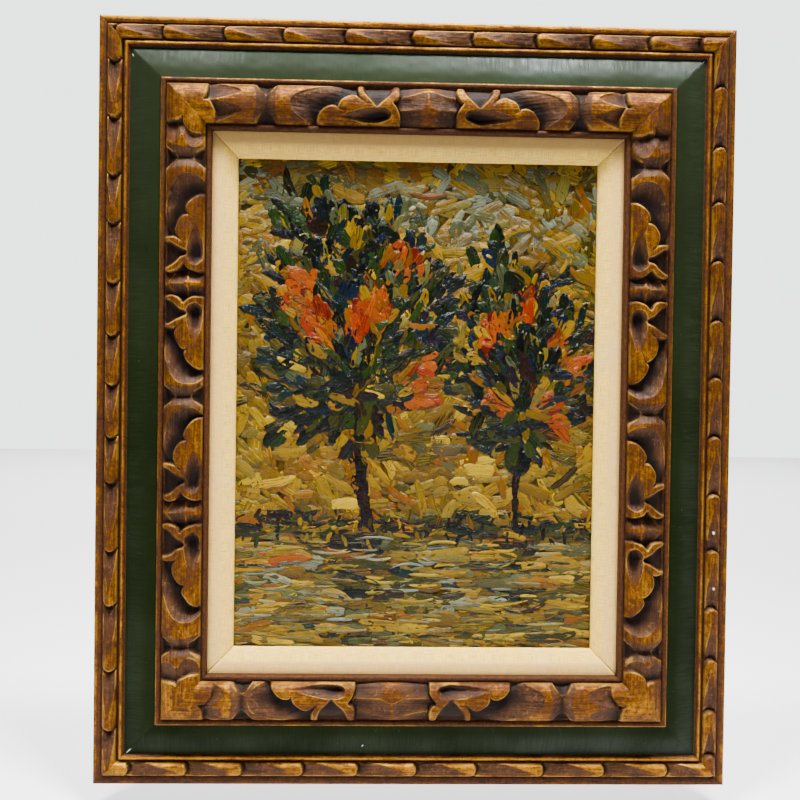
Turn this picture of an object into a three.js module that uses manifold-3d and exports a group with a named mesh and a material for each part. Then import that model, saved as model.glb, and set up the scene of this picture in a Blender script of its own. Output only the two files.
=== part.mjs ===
// Framed oil painting: four carved and mitred frame rails, a linen covered liner of four
// mitred rails set in their rebate, and a painted board behind the liner.
//
// Millimetres. +Z is up, the picture faces -Y and its flat back lies on y = 0.
// The origin is on the back of the top rail, at the middle of its length, where the frame hangs.
//
// Every rail is drawn in its own space: x runs along the rail (anticlockwise round the frame as
// seen from the front), y runs inward from the rail's outer edge and z rises from its back.

import * as THREE from 'three';
import { mergeVertices } from 'three/addons/utils/BufferGeometryUtils.js';
import Module from 'manifold-3d';

// ---------------------------------------------------------------- driving dimensions

const FRAME_WIDTH = 516;
const FRAME_HEIGHT = 620;
const JOINT_GAP = 0.3;                 // air between pieces that touch
const HANG_DROP = 30;                  // from the top edge down to where the frame hangs

const RAIL_WIDTH = 92.4;               // outer edge to sight edge of a frame rail
const BACK_BEVEL = 5;                  // bevel round the back of the outer edge
const LIP_WIDTH = 6.2;                 // plain outer lip
const LIP_HEIGHT = 19;
const QUIRK_HEIGHT = 17.6;             // bottom of the grooves beside the rope bead
const ROPE_START = 7;
const ROPE_WIDTH = 12;
const ROPE_RISE = 6.6;
const GILT_FILLET_START = 20.4;
const GILT_FILLET_WIDTH = 4;
const GILT_FILLET_HEIGHT = 21.6;
const PANEL_START = 25;                // green painted slope
const PANEL_END = 51.5;
const PANEL_LOW = 18.4;
const PANEL_HIGH = 28.2;
const BAND_FILLET_HEIGHT = 30.2;
const BAND_FILLET_WIDTH = 4;
const BAND_START = 56.4;               // carved half round band
const BAND_WIDTH = 31.6;
const BAND_BASE = 28.6;
const BAND_RISE = 10.4;
const SIGHT_LIP_START = 88.5;
const SIGHT_LIP_HEIGHT = 30.6;
const REBATE_DEPTH = 6.2;              // how far the rail covers the liner
const REBATE_FACE = 24;                // the liner's face bears on this level

const LINER_SIGHT = 112;               // outer edge of the frame to sight edge of the liner
const LINER_FLAT = 9.2;                // visible flat of the liner beside the frame
const LINER_BACK = 7;
const LINER_SIGHT_HEIGHT = 17.4;
const LINER_EDGE_RADIUS = 1.6;
const LINER_REBATE_DEPTH = 6.6;
const BOARD_FACE = 14.2;
const BOARD_THICKNESS = 3.2;

const DAB_LENGTH = 46;                 // the thickest dabs of paint
const DAB_WIDTH = 17;
const DAB_HEIGHT = 1.5;
const GOLDEN_ANGLE = Math.PI * (3 - Math.sqrt(5));

const BAND_MIDDLE = BAND_START + BAND_WIDTH / 2;
const BAND_CREST = BAND_BASE + BAND_RISE;
const ROPE_MIDDLE = ROPE_START + ROPE_WIDTH / 2;
const ROPE_CREST = QUIRK_HEIGHT + ROPE_RISE;

// How the carving is set out along each rail, measured from the rail's middle. The rope's noses
// run from the first to the last, and wander and sway make the hand cut spacing uneven.
const RAILS = [
  {
    name: 'top', length: FRAME_WIDTH, turn: Math.PI,
    rope: { first: -228, last: 244, units: 10, wander: 0, sway: -6.5 },
    notches: [-127.5, 126], spools: [-6], halfSpool: 22.5, collar: 25, leaf: 167,
  },
  {
    name: 'left', length: FRAME_HEIGHT, turn: Math.PI / 2,
    rope: { first: -273, last: 266, units: 12, wander: -12, sway: 4 },
    notches: [-194, -5.5, 194], spools: [-94.5, 86.8], halfSpool: 9.6, collar: 15, leaf: 221,
  },
  {
    name: 'bottom', length: FRAME_WIDTH, turn: 0,
    rope: { first: -229, last: 250, units: 10, wander: -2.5, sway: -5 },
    notches: [-136.5, 122], spools: [-16.8], halfSpool: 29.8, collar: 22, leaf: 168,
  },
  {
    name: 'right', length: FRAME_HEIGHT, turn: -Math.PI / 2,
    rope: { first: -284, last: 262, units: 12, wander: -12, sway: -7 },
    notches: [-196, -4, 193], spools: [-97.5, 95.2], halfSpool: 9.6, collar: 15, leaf: 220,
  },
];

// Half a cartouche's hollows, from the end next to the spool: millimetres along, share of the
// band across. The long half is cut on the top and bottom, where the spool is low and wide.
const LONG_MOTIF = {
  crescent: [
    [71, 1.02], [84, 0.78], [88, 0.52], [82, 0.25], [66, 0.07], [52, -0.02], [34.6, -0.02],
    [32.6, 0.3], [29.5, 0.44], [36, 0.285], [44, 0.31], [50.6, 0.6], [57, 0.545], [65.3, 0.73],
    [67.5, 1.02],
  ],
  vee: [[4, -0.02], [10, 0.32], [19, 0.57], [27.5, 0.3], [31, -0.02]],
  bracket: [[1.5, -0.02], [0, 0.2], [5.5, 0.44], [0, 0.75], [0, 1.02]],
  eye: { tail: [53, 0.79], head: [14, 0.74], round: 7.5 },
};
const SHORT_MOTIF = {
  crescent: [
    [67, 1.02], [72.6, 0.7], [70, 0.36], [60, 0.14], [40, -0.02], [27.2, -0.02], [26.2, 0.36],
    [23, 0.47], [28, 0.32], [36.5, 0.285], [45.7, 0.59], [51, 0.53], [59.5, 0.72], [62.5, 1.02],
  ],
  vee: [[2, -0.02], [7.5, 0.32], [14.5, 0.57], [22, 0.27], [24.8, -0.02]],
  bracket: [[1.3, -0.02], [-0.4, 0.18], [6, 0.48], [0, 0.8], [1, 1.02]],
  eye: { tail: [42, 0.77], head: [12, 0.75], round: 6 },
};

// The painting's raised masses, from the middle of the picture: two tree crowns, their trunks,
// the bank they stand on, the water in front and the clouds.
const PAINT_MASSES = [
  { x: -48, z: 62, wide: 150, high: 150, count: 20, slant: 0.8 },
  { x: 84, z: 30, wide: 80, high: 100, count: 9, slant: 1.2 },
  { x: -40, z: -52, wide: 14, high: 76, count: 3, slant: 1.5 },
  { x: 82, z: -48, wide: 10, high: 56, count: 2, slant: 1.5 },
  { x: 0, z: -98, wide: 250, high: 26, count: 9, slant: 0.1 },
  { x: 0, z: -152, wide: 240, high: 56, count: 9, slant: 0 },
  { x: 60, z: 150, wide: 130, high: 56, count: 7, slant: 0.3 },
];

// ---------------------------------------------------------------- solids

const wasm = await Module();
wasm.setup();

/** A closed three.js geometry as a solid that can be joined and cut. */
function toSolid(geometry) {
  const bare = geometry.clone();
  bare.deleteAttribute('normal');
  bare.deleteAttribute('uv');
  const merged = mergeVertices(bare, 1e-4);
  return new wasm.Manifold(new wasm.Mesh({
    numProp: 3,
    vertProperties: new Float32Array(merged.attributes.position.array),
    triVerts: new Uint32Array(merged.index.array),
  }));
}

/** A cut solid as a three.js geometry. */
function toGeometry(solid) {
  const mesh = solid.getMesh();
  const geometry = new THREE.BufferGeometry();
  geometry.setAttribute('position', new THREE.BufferAttribute(mesh.vertProperties, 3));
  geometry.setIndex(new THREE.BufferAttribute(mesh.triVerts, 1));
  geometry.computeVertexNormals();
  return geometry;
}

/** A tapering gouge cut: a cone lying in the wood, from its fine tip to its wide end. */
function gouge(tip, end, radius, sides) {
  const axis = new THREE.Vector3().subVectors(tip, end);
  const cone = new THREE.ConeGeometry(radius, axis.length(), sides);
  const turn = new THREE.Quaternion().setFromUnitVectors(
    new THREE.Vector3(0, 1, 0), axis.clone().normalize());
  cone.applyQuaternion(turn);
  cone.translate(...new THREE.Vector3().addVectors(tip, end).multiplyScalar(0.5).toArray());
  return toSolid(cone);
}

/** A rounded nose of wood that a cut stops at: an upright post with an oval outline. */
function nose(along, across, halfLength, halfWidth) {
  const post = new THREE.CylinderGeometry(1, 1, 60, 12);
  post.rotateX(Math.PI / 2);
  post.scale(halfLength, halfWidth, 1);
  post.translate(along, across, 20);
  return toSolid(post);
}

/** A straight walled pocket with the given outline, whose flat floor may slope. */
function pocket(outline, floorAt) {
  const block = new THREE.ExtrudeGeometry(outline, { depth: 1, bevelEnabled: false, curveSegments: 4 });
  const point = block.attributes.position;
  for (let i = 0; i < point.count; i++) {
    const level = point.getZ(i) < 0.5 ? floorAt(point.getX(i), point.getY(i)) : BAND_CREST + 9;
    point.setZ(i, level);
  }
  return toSolid(block);
}

/** The stretch of wood between two lines along the rail that a cut may touch, above a level. */
function strip(start, width, level) {
  const block = new THREE.BoxGeometry(FRAME_HEIGHT, width, 60);
  block.translate(0, start + width / 2, level + 30);
  return toSolid(block);
}

/** A moulding cut to length with a mitre at each end. */
function mitredMoulding(profile, length) {
  const stick = new THREE.ExtrudeGeometry(profile, { depth: 1, bevelEnabled: false, curveSegments: 4 });
  const point = stick.attributes.position;
  for (let i = 0; i < point.count; i++) {
    const across = point.getX(i);
    const reach = length / 2 - across - JOINT_GAP / 2;
    const level = point.getY(i);
    point.setXYZ(i, point.getZ(i) < 0.5 ? -reach : reach, across, level);
  }
  return toSolid(stick);
}

// ---------------------------------------------------------------- frame rails

function frameProfile() {
  const shape = new THREE.Shape();
  shape.moveTo(BACK_BEVEL, 0);
  shape.lineTo(RAIL_WIDTH - REBATE_DEPTH, 0);
  shape.lineTo(RAIL_WIDTH - REBATE_DEPTH, REBATE_FACE);
  shape.lineTo(RAIL_WIDTH, REBATE_FACE);
  shape.lineTo(RAIL_WIDTH, SIGHT_LIP_HEIGHT - 1.4);
  shape.lineTo(RAIL_WIDTH - 1.2, SIGHT_LIP_HEIGHT);
  shape.lineTo(SIGHT_LIP_START, SIGHT_LIP_HEIGHT);
  shape.lineTo(BAND_START + BAND_WIDTH, BAND_BASE);
  shape.absellipse(BAND_MIDDLE, BAND_BASE, BAND_WIDTH / 2, BAND_RISE, 0, Math.PI, false);
  shape.lineTo(BAND_START - 0.6, BAND_FILLET_HEIGHT);
  shape.lineTo(BAND_START - BAND_FILLET_WIDTH, BAND_FILLET_HEIGHT);
  shape.lineTo(PANEL_END, PANEL_HIGH);
  shape.lineTo(PANEL_START, PANEL_LOW);
  shape.lineTo(GILT_FILLET_START + GILT_FILLET_WIDTH, GILT_FILLET_HEIGHT - 0.9);
  shape.lineTo(GILT_FILLET_START + GILT_FILLET_WIDTH - 1.1, GILT_FILLET_HEIGHT);
  shape.lineTo(GILT_FILLET_START + 0.9, GILT_FILLET_HEIGHT);
  shape.lineTo(GILT_FILLET_START, QUIRK_HEIGHT);
  shape.lineTo(ROPE_START + ROPE_WIDTH, QUIRK_HEIGHT);
  shape.absellipse(ROPE_MIDDLE, QUIRK_HEIGHT, ROPE_WIDTH / 2, ROPE_RISE, 0, Math.PI, false);
  shape.lineTo(LIP_WIDTH, LIP_HEIGHT);
  shape.lineTo(1, LIP_HEIGHT);
  shape.lineTo(0, LIP_HEIGHT - 1);
  shape.lineTo(0, BACK_BEVEL * 2);
  shape.closePath();
  return shape;
}

/** Where the rope's noses stand along a rail. */
function ropeNoses({ first, last, units, wander, sway }) {
  return Array.from({ length: units + 1 }, (_, i) => {
    const share = i / units;
    return THREE.MathUtils.lerp(first, last, share)
      + wander * Math.sin(Math.PI * share) + sway * Math.sin(2 * Math.PI * share);
  });
}

/** One scoop of the rope: it starts behind its own nose and deepens to the nose behind it. */
function ropeScoop(noseBehind, noseAhead) {
  const tip = new THREE.Vector3(noseAhead - 7, ROPE_START + 3.4, ROPE_CREST - 0.2);
  const end = new THREE.Vector3(noseBehind - 4, ROPE_START + 4.4, ROPE_CREST + 6);
  const kept = nose(noseBehind - 6, ROPE_MIDDLE, 6.4, 6.6);
  return gouge(tip, end, 12.4, 12).subtract(kept);
}

function ropeCuts({ rope, length }) {
  const noses = ropeNoses(rope);
  noses.push(noses.at(-1) + 46);
  return noses.slice(1)
    .filter((ahead, i) => noses[i] < length / 2)
    .map((ahead, i) => ropeScoop(noses[i], ahead));
}

// ---------------------------------------------------------------- carved band

/** Height of the uncarved band on a line across the rail. */
function bandLevel(across) {
  const share = (across - BAND_MIDDLE) / (BAND_WIDTH / 2);
  return BAND_BASE + BAND_RISE * Math.sqrt(1 - share * share);
}

/** Half a cartouche between a spool and a notch: its hollows, and how to place their points. */
function halfCartouche(notch, spool, halfSpool) {
  const motif = halfSpool > 15 ? LONG_MOTIF : SHORT_MOTIF;
  const side = Math.sign(notch - spool);
  const reach = Math.max(...motif.crescent.map(([along]) => along));
  const room = Math.abs(notch - spool) - halfSpool;
  const stretch = THREE.MathUtils.clamp((room - 12) / reach, 0.93, 1.06);
  const at = ([along, across]) => new THREE.Vector2(
    spool + side * (halfSpool + along * stretch), BAND_START + across * BAND_WIDTH);
  return { motif, side, at, spool, halfSpool, rim: at([reach, 0]).x };
}

/** The hollow round a leaf: an arc outside, the leaf's scallops inside, deepest at the leaf. */
function crescentCut({ motif, side, at, rim }) {
  const outline = new THREE.Shape(motif.crescent.map(at));
  return pocket(outline, (along) => BAND_CREST - 4.2 - Math.min(3, (rim - along) * side * 0.14));
}

/** The pointed hollow beside the leaf's foot, open to the band's outer edge. */
function veeCut({ motif, at }) {
  return pocket(new THREE.Shape(motif.vee.map(at)), () => BAND_CREST - 5.4);
}

/** The drop shaped eye on the inner side, round towards the spool. */
function eyeCut({ motif, side, at }) {
  const tail = at(motif.eye.tail);
  const head = at(motif.eye.head);
  const drop = gouge(
    new THREE.Vector3(tail.x, tail.y, BAND_CREST - 1.4),
    new THREE.Vector3(head.x, head.y, BAND_CREST), 6.4, 8);
  const bowl = new THREE.SphereGeometry(1, 8, 6);
  bowl.rotateX(Math.PI / 2);
  bowl.scale(motif.eye.round, 5.9, 7);
  bowl.translate(head.x, head.y, BAND_CREST - 0.4);
  return drop.add(toSolid(bowl));
}

/** Half the low spool: its floor rises from the bracket to the ridge across its middle. */
function spoolCut({ motif, at, spool, side, halfSpool }) {
  const ridge = spool - 0.05 * side;
  const outline = new THREE.Shape([
    ...motif.bracket.map(at),
    new THREE.Vector2(ridge, BAND_START + 1.02 * BAND_WIDTH),
    new THREE.Vector2(ridge, BAND_MIDDLE),
    new THREE.Vector2(ridge, BAND_START - 0.02 * BAND_WIDTH),
  ]);
  return pocket(outline, (along, across) => BAND_CREST - 1.6
    - 5.2 * Math.max(0, (along - spool) * side) / halfSpool - Math.abs(across - BAND_MIDDLE) * 0.12);
}

/** The crossing notch between two motifs: a waisted cut, deepest at the band's edges. */
function notchCut(along) {
  const waist = BAND_CREST - 1.2;
  const outer = gouge(
    new THREE.Vector3(along, BAND_MIDDLE + 5, waist),
    new THREE.Vector3(along, BAND_START - 2, BAND_CREST - 1), 10, 6);
  const inner = gouge(
    new THREE.Vector3(along, BAND_MIDDLE - 5, waist),
    new THREE.Vector3(along, BAND_START + BAND_WIDTH + 2, BAND_CREST - 1), 10, 6);
  const groove = new THREE.CylinderGeometry(4.6, 4.6, BAND_WIDTH, 4);
  groove.translate(along, BAND_MIDDLE, BAND_CREST);
  return outer.add(inner).add(toSolid(groove));
}

/** The two scoops that face a corner leaf, stopped by the leaf's two lobes. */
function cornerCuts({ leaf, collar }, side) {
  const scoop = (across, start) => {
    const line = BAND_START + across * BAND_WIDTH;
    const surface = bandLevel(line);
    return gouge(
      new THREE.Vector3((leaf - collar + start) * side, line, surface - 0.2),
      new THREE.Vector3((leaf + 6) * side, line, surface + 3.4), 14, 10);
  };
  const outerLobe = nose((leaf + 12) * side, BAND_START + 0.24 * BAND_WIDTH, 9, 9.6);
  const innerLobe = nose((leaf + 6) * side, BAND_START + 0.74 * BAND_WIDTH, 9, 9.4);
  return scoop(0.22, 6).add(scoop(0.74, 0)).subtract(outerLobe).subtract(innerLobe);
}

function bandCuts(rail) {
  const cuts = rail.notches.map(notchCut);
  rail.spools.forEach((spool, i) => {
    for (const notch of [rail.notches[i], rail.notches[i + 1]]) {
      const half = halfCartouche(notch, spool, rail.halfSpool);
      cuts.push(crescentCut(half), veeCut(half), eyeCut(half), spoolCut(half));
    }
  });
  cuts.push(cornerCuts(rail, -1), cornerCuts(rail, 1));
  return cuts;
}

function frameRail(rail) {
  const blank = mitredMoulding(frameProfile(), rail.length);
  const ropeStrip = strip(ROPE_START, ROPE_WIDTH, QUIRK_HEIGHT);
  const bandStrip = strip(BAND_START, BAND_WIDTH, BAND_BASE);
  const cuts = [
    ...ropeCuts(rail).map((cut) => cut.intersect(ropeStrip)),
    ...bandCuts(rail).map((cut) => cut.intersect(bandStrip)),
  ];
  return toGeometry(cuts.reduce((wood, cut) => wood.subtract(cut), blank));
}

// ---------------------------------------------------------------- liner and painting

function linerProfile() {
  const outer = RAIL_WIDTH - REBATE_DEPTH + JOINT_GAP;
  const face = REBATE_FACE - JOINT_GAP;
  const inner = LINER_SIGHT;
  const shape = new THREE.Shape();
  shape.moveTo(outer, LINER_BACK);
  shape.lineTo(inner - LINER_REBATE_DEPTH, LINER_BACK);
  shape.lineTo(inner - LINER_REBATE_DEPTH, BOARD_FACE + JOINT_GAP);
  shape.lineTo(inner, BOARD_FACE + JOINT_GAP);
  shape.lineTo(inner, LINER_SIGHT_HEIGHT - LINER_EDGE_RADIUS);
  shape.quadraticCurveTo(inner, LINER_SIGHT_HEIGHT, inner - LINER_EDGE_RADIUS, LINER_SIGHT_HEIGHT + 0.9);
  shape.lineTo(RAIL_WIDTH + LINER_FLAT + 1, face - 0.4);
  shape.lineTo(RAIL_WIDTH + LINER_FLAT - 1, face);
  shape.lineTo(outer, face);
  shape.closePath();
  return shape;
}

/** One thick dab of paint left by the knife: a low ridge lying on the board at some slant. */
function knifeDab(x, z, length, width, slant) {
  const dab = new THREE.ConeGeometry(1, DAB_HEIGHT + 1, 5);
  dab.rotateX(Math.PI / 2);
  dab.scale(length / 2, width / 2, 1);
  dab.rotateZ(slant);
  dab.translate(x, z, (DAB_HEIGHT - 1) / 2);
  return toSolid(dab);
}

/** The board with its thickest paint: the dabs of each mass are spread by a fixed rule. */
function paintedBoard() {
  const margin = LINER_SIGHT - LINER_REBATE_DEPTH + JOINT_GAP;
  const board = new THREE.BoxGeometry(
    FRAME_WIDTH - 2 * margin, FRAME_HEIGHT - 2 * margin, BOARD_THICKNESS);
  board.translate(0, 0, -BOARD_THICKNESS / 2);
  const dabs = PAINT_MASSES.flatMap(({ x, z, wide, high, count, slant }) => (
    Array.from({ length: count }, (_, i) => {
      const turn = i * GOLDEN_ANGLE;
      const spread = Math.sqrt((i + 0.5) / count) / 2;
      const size = 1 + 0.25 * Math.sin(5 * i);
      return knifeDab(
        x + wide * spread * Math.cos(turn), z + high * spread * Math.sin(turn),
        DAB_LENGTH * size, DAB_WIDTH * size, slant + 0.7 * Math.sin(3 * i));
    })));
  return toGeometry(dabs.reduce((paint, dab) => paint.add(dab), toSolid(board)));
}

// ---------------------------------------------------------------- assembly

const gilt = { color: 0x8a5a22, roughness: 0.5, metalness: 0.35 };
const linen = { color: 0xd2c3a4, roughness: 0.95, metalness: 0 };
const paint = { color: 0x8a6a22, roughness: 0.45, metalness: 0 };

function piece(name, geometry, finish) {
  const mesh = new THREE.Mesh(geometry, new THREE.MeshStandardMaterial(finish));
  mesh.name = name;
  return mesh;
}

/** Turns a rail drawn in its own space to its side of the picture. */
function placeRail(mesh, { length, turn }) {
  const side = new THREE.Group();
  const reach = length === FRAME_WIDTH ? FRAME_HEIGHT / 2 : FRAME_WIDTH / 2;
  mesh.rotation.x = Math.PI / 2;
  mesh.position.z = -reach;
  side.rotation.y = turn;
  side.add(mesh);
  return side;
}

const picture = new THREE.Group();
picture.position.z = HANG_DROP - FRAME_HEIGHT / 2;
for (const rail of RAILS) {
  const liner = mitredMoulding(linerProfile(), rail.length);
  picture.add(placeRail(piece(`frame_rail_${rail.name}`, frameRail(rail), gilt), rail));
  picture.add(placeRail(piece(`liner_rail_${rail.name}`, toGeometry(liner), linen), rail));
}
const painting = piece('painting', paintedBoard(), paint);
painting.rotation.x = Math.PI / 2;
painting.position.y = -BOARD_FACE;
picture.add(painting);

export default picture;
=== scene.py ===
import math
import bpy
import numpy as np
from mathutils import Euler, Matrix, Vector


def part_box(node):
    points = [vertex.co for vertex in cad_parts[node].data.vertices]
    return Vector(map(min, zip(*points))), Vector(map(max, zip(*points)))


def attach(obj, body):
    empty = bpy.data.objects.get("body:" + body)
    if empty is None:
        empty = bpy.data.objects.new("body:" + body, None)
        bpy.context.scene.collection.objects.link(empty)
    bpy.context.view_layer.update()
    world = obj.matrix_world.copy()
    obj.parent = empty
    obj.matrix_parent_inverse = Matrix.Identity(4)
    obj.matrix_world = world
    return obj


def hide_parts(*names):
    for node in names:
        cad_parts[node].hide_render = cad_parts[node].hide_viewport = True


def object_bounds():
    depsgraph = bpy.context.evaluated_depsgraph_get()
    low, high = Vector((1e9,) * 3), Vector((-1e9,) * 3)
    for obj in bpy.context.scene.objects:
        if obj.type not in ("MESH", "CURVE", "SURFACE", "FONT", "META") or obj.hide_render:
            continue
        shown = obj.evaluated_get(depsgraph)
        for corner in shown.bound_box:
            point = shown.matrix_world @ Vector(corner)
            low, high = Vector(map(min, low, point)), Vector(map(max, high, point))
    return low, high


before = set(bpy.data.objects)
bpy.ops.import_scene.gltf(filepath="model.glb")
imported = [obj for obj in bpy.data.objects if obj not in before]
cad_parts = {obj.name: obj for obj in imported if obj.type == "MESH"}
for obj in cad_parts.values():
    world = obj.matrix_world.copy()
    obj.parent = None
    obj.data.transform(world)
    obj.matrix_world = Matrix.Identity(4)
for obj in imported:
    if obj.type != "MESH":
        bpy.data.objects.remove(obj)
cad_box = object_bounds()


# ---------------------------------------------------------------- studio
# The picture hangs free over a plain pale floor. Soft light comes from a pale room, from two lamps
# above the viewer and from a wide one behind, and one camera looks at the picture's front.

ROOM_COLOUR = (0.97, 0.985, 1.0)
ROOM_FILL, CEILING_LIGHT, BACKDROP_LIGHT = 0.09, 0.38, 3.0
FLOOR_DROP = 0.02
FLOOR_REACH, FLOOR_BACK = 6.0, 4.2
FLOOR_COLOUR = (0.8, 0.8, 0.81)
FLOOR_ROUGHNESS = 0.9
# Each lamp's place from the middle of the picture, with its power in watts.
LAMPS = ((Vector((0.38, -0.64, 1.84)), 17), (Vector((-0.5, -0.64, 1.84)), 13))
LAMP_SIZE, LAMP_SPREAD = (0.4, 0.45), 60
LAMP_COLOUR = (1.0, 0.985, 0.96)
BACK_LAMP_PLACE = Vector((0, 2.5, 2.4))
BACK_LAMP_SIZE, BACK_LAMP_POWER, BACK_LAMP_SPREAD = (4.4, 4.4), 228, 100
CAMERA_PLACE = Vector((-0.0368, -0.8141, 0.01735))
CAMERA_TURN, CAMERA_DIP, CAMERA_ROLL = -1.67, -0.91, -0.78
SENSOR_WIDTH, LENS = 36, 45.18

low, high = cad_box
middle = (low + high) / 2
scene = bpy.context.scene


class Nodes:
    """The nodes that make a room's light or a piece's finish, built up one by one."""

    def __init__(self, owner, surface):
        owner.use_nodes = True
        self.owner, self.tree = owner, owner.node_tree
        self.surface = self.tree.nodes[surface]

    def put(self, socket, value):
        if isinstance(value, bpy.types.NodeSocket):
            self.tree.links.new(value, socket)
        else:
            socket.default_value = (*value, 1) if socket.type == "RGBA" else value

    def set(self, **values):
        for name, value in values.items():
            self.put(self.surface.inputs[name.replace("_", " ")], value)

    def node(self, kind, output, inputs=(), **settings):
        """Adds a node, with values or sockets on its inputs, and gives the output to read."""
        made = self.tree.nodes.new("ShaderNode" + kind)
        for name, value in settings.items():
            setattr(made, name, value)
        for name, value in dict(inputs).items():
            self.put(made.inputs[name], value)
        return made.outputs[output]

    def maths(self, operation, a, b=0.0, c=0.0, clamp=False):
        return self.node("Math", 0, enumerate((a, b, c)), operation=operation, use_clamp=clamp)


world = bpy.data.worlds.new("pale_room")
room = Nodes(world, "Background")
heading = room.node("TexCoord", "Generated")
strength = ROOM_FILL
for axis, amount in (("Z", CEILING_LIGHT), ("Y", BACKDROP_LIGHT)):
    facing = room.maths("MAXIMUM", room.node("SeparateXYZ", axis, {0: heading}), 0.0)
    strength = room.maths("ADD", room.maths("MULTIPLY", facing, amount), strength)
seen = room.node("LightPath", "Is Camera Ray")
room.set(Color=ROOM_COLOUR,
         Strength=room.node("Mix", "Result", dict(Factor=seen, A=strength, B=BACKDROP_LIGHT)))
scene.world = world


def stand(name, data):
    """Puts a lamp, a camera or a mesh in the scene."""
    made = bpy.data.objects.new(name, data)
    scene.collection.objects.link(made)
    return made


floor_mesh = bpy.data.meshes.new("floor")
floor_mesh.from_pydata([(x, y, low.z - FLOOR_DROP) for x, y in (
    (-FLOOR_REACH, -FLOOR_REACH), (FLOOR_REACH, -FLOOR_REACH),
    (FLOOR_REACH, FLOOR_BACK), (-FLOOR_REACH, FLOOR_BACK))], [], [(0, 1, 2, 3)])
floor_paint = Nodes(bpy.data.materials.new("pale_floor"), "Principled BSDF")
floor_paint.set(Base_Color=FLOOR_COLOUR, Roughness=FLOOR_ROUGHNESS)
floor_mesh.materials.append(floor_paint.owner)
floor = stand("floor", floor_mesh)


def lamp(name, place, size, power, spread):
    """A flat lamp that shines straight down."""
    data = bpy.data.lights.new(name, "AREA")
    data.shape = "RECTANGLE"
    data.size, data.size_y = size
    data.energy = power
    data.spread = math.radians(spread)
    hung = stand(name, data)
    hung.location = middle + place
    return hung


for place, power in LAMPS:
    hung = lamp("ceiling_lamp", place, LAMP_SIZE, power, LAMP_SPREAD)
    hung.data.color = LAMP_COLOUR
    hung.rotation_euler = (-place).to_track_quat("-Z", "Y").to_euler()
lamp("backdrop_lamp", BACK_LAMP_PLACE, BACK_LAMP_SIZE, BACK_LAMP_POWER, BACK_LAMP_SPREAD)

camera_data = bpy.data.cameras.new("camera")
camera_data.sensor_width = SENSOR_WIDTH
camera_data.lens = LENS
camera = stand("camera", camera_data)
turned, dipped, rolled, upright = (Euler(np.radians(angles)).to_matrix() for angles in (
    (0, 0, CAMERA_TURN), (CAMERA_DIP, 0, 0), (0, CAMERA_ROLL, 0), (90, 0, 0)))
camera.matrix_world = Matrix.Translation(middle + CAMERA_PLACE) @ (
    turned @ dipped @ rolled @ upright).to_4x4()
scene.camera = camera


# ---------------------------------------------------------------- frame rails
# Four sticks of softwood moulding, mitred and glued at the corners. The rope edge and the wide
# half round band are cut by hand with gouges, then gilded over a red-brown ground that is left
# dark in the hollows. The slope between them is painted a dark satin green; the back is bare.

MM = 0.001
# The moulding's sizes in mm: across from the outer edge, and up from the flat back.
QUIRK = 17.6
ROPE_START, ROPE_WIDTH, ROPE_RISE = 7.0, 12.0, 6.6
PANEL_START, PANEL_END = 25.2, 51.5
BAND_START, BAND_WIDTH, BAND_BASE, BAND_RISE = 56.4, 31.6, 28.6, 10.4
BAND_CREST = BAND_BASE + BAND_RISE
BAND_END = BAND_START + BAND_WIDTH
RAIL_WIDTH = 92.4
REBATE_DEPTH, REBATE_FACE = 6.2, 24.0
MITRE_OVERLAP = 0.12
ALONG_STEP, ACROSS_STEP = 0.85, 0.62

# How each side is set out in mm, from the middle of the rail and anticlockwise round the frame:
# the notches, the spools with half their length, the corner leaves, the scoops beside them, how
# far the leaves' lobes reach, and the row of rope noses. Then how blunt the scoops end, how much
# longer each half cartouche and its arc are than drawn, how far its lines bow in from the outer
# edge, and how much more gold the lip and the rope bead show than the rest, which is painted
# light and shade for how each side meets the light.
SIDES = {
    "top": dict(
        along=(-1, 0, 0), inward=(0, 0, -1), notches=(-127.5, 122.5), spools=(-6,), half=22.5,
        leaves=(-165, 168.5), scoops=(23, 26), lobes=(6.5, 6.5),
        rope=(-228, -186, -139, -93.5, -42, 7, 61, 110.5, 158, 206.5, 244),
        blunt=0.0, stretch=(0.985, 0.975), arcs=(0.99, 0.985), lift=0.0, lip=0.3, bead=0.06),
    "left": dict(
        along=(0, 0, -1), inward=(1, 0, 0), notches=(-194, -5.5, 194), spools=(-94.5, 86.8),
        half=9.6, leaves=(-223, 221.5), scoops=(17, 16), lobes=(10.5, 6),
        rope=(-273, -227.5, -181.5, -143, -95, -53, -13, 29, 66, 121, 165, 218, 266),
        blunt=1.0, stretch=(0.98, 0.93, 1.05, 1.06), arcs=(1.06, 0.96, 1.02, 1.06), lift=0.6,
        lip=0.0, bead=0.0),
    "bottom": dict(
        along=(1, 0, 0), inward=(0, 0, 1), notches=(-136.5, 120.5), spools=(-16.8,), half=29.8,
        leaves=(-168, 168), scoops=(15.5, 26), lobes=(8.5, 8.5),
        rope=(-229, -182, -137, -88, -43.5, 4, 53, 108, 158, 210, 250),
        blunt=0.5, stretch=(0.995, 0.97), arcs=(0.995, 1.05), lift=1.8, lip=-0.3, bead=0.2),
    "right": dict(
        along=(0, 0, 1), inward=(-1, 0, 0), notches=(-196, -4, 193), spools=(-97.5, 95.2), half=9.6,
        leaves=(-219.5, 221), scoops=(15, 17), lobes=(8, 3.5),
        rope=(-284, -247.5, -205, -163, -115.5, -69.5, -22.5, 25.5, 72.5, 121, 168.5, 213.5, 262),
        blunt=1.0, stretch=(0.98, 0.98, 1.06, 0.96), arcs=(1.04, 1.01, 1.065, 1.05), lift=0.4,
        lip=0.0, bead=-0.02),
}

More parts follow.
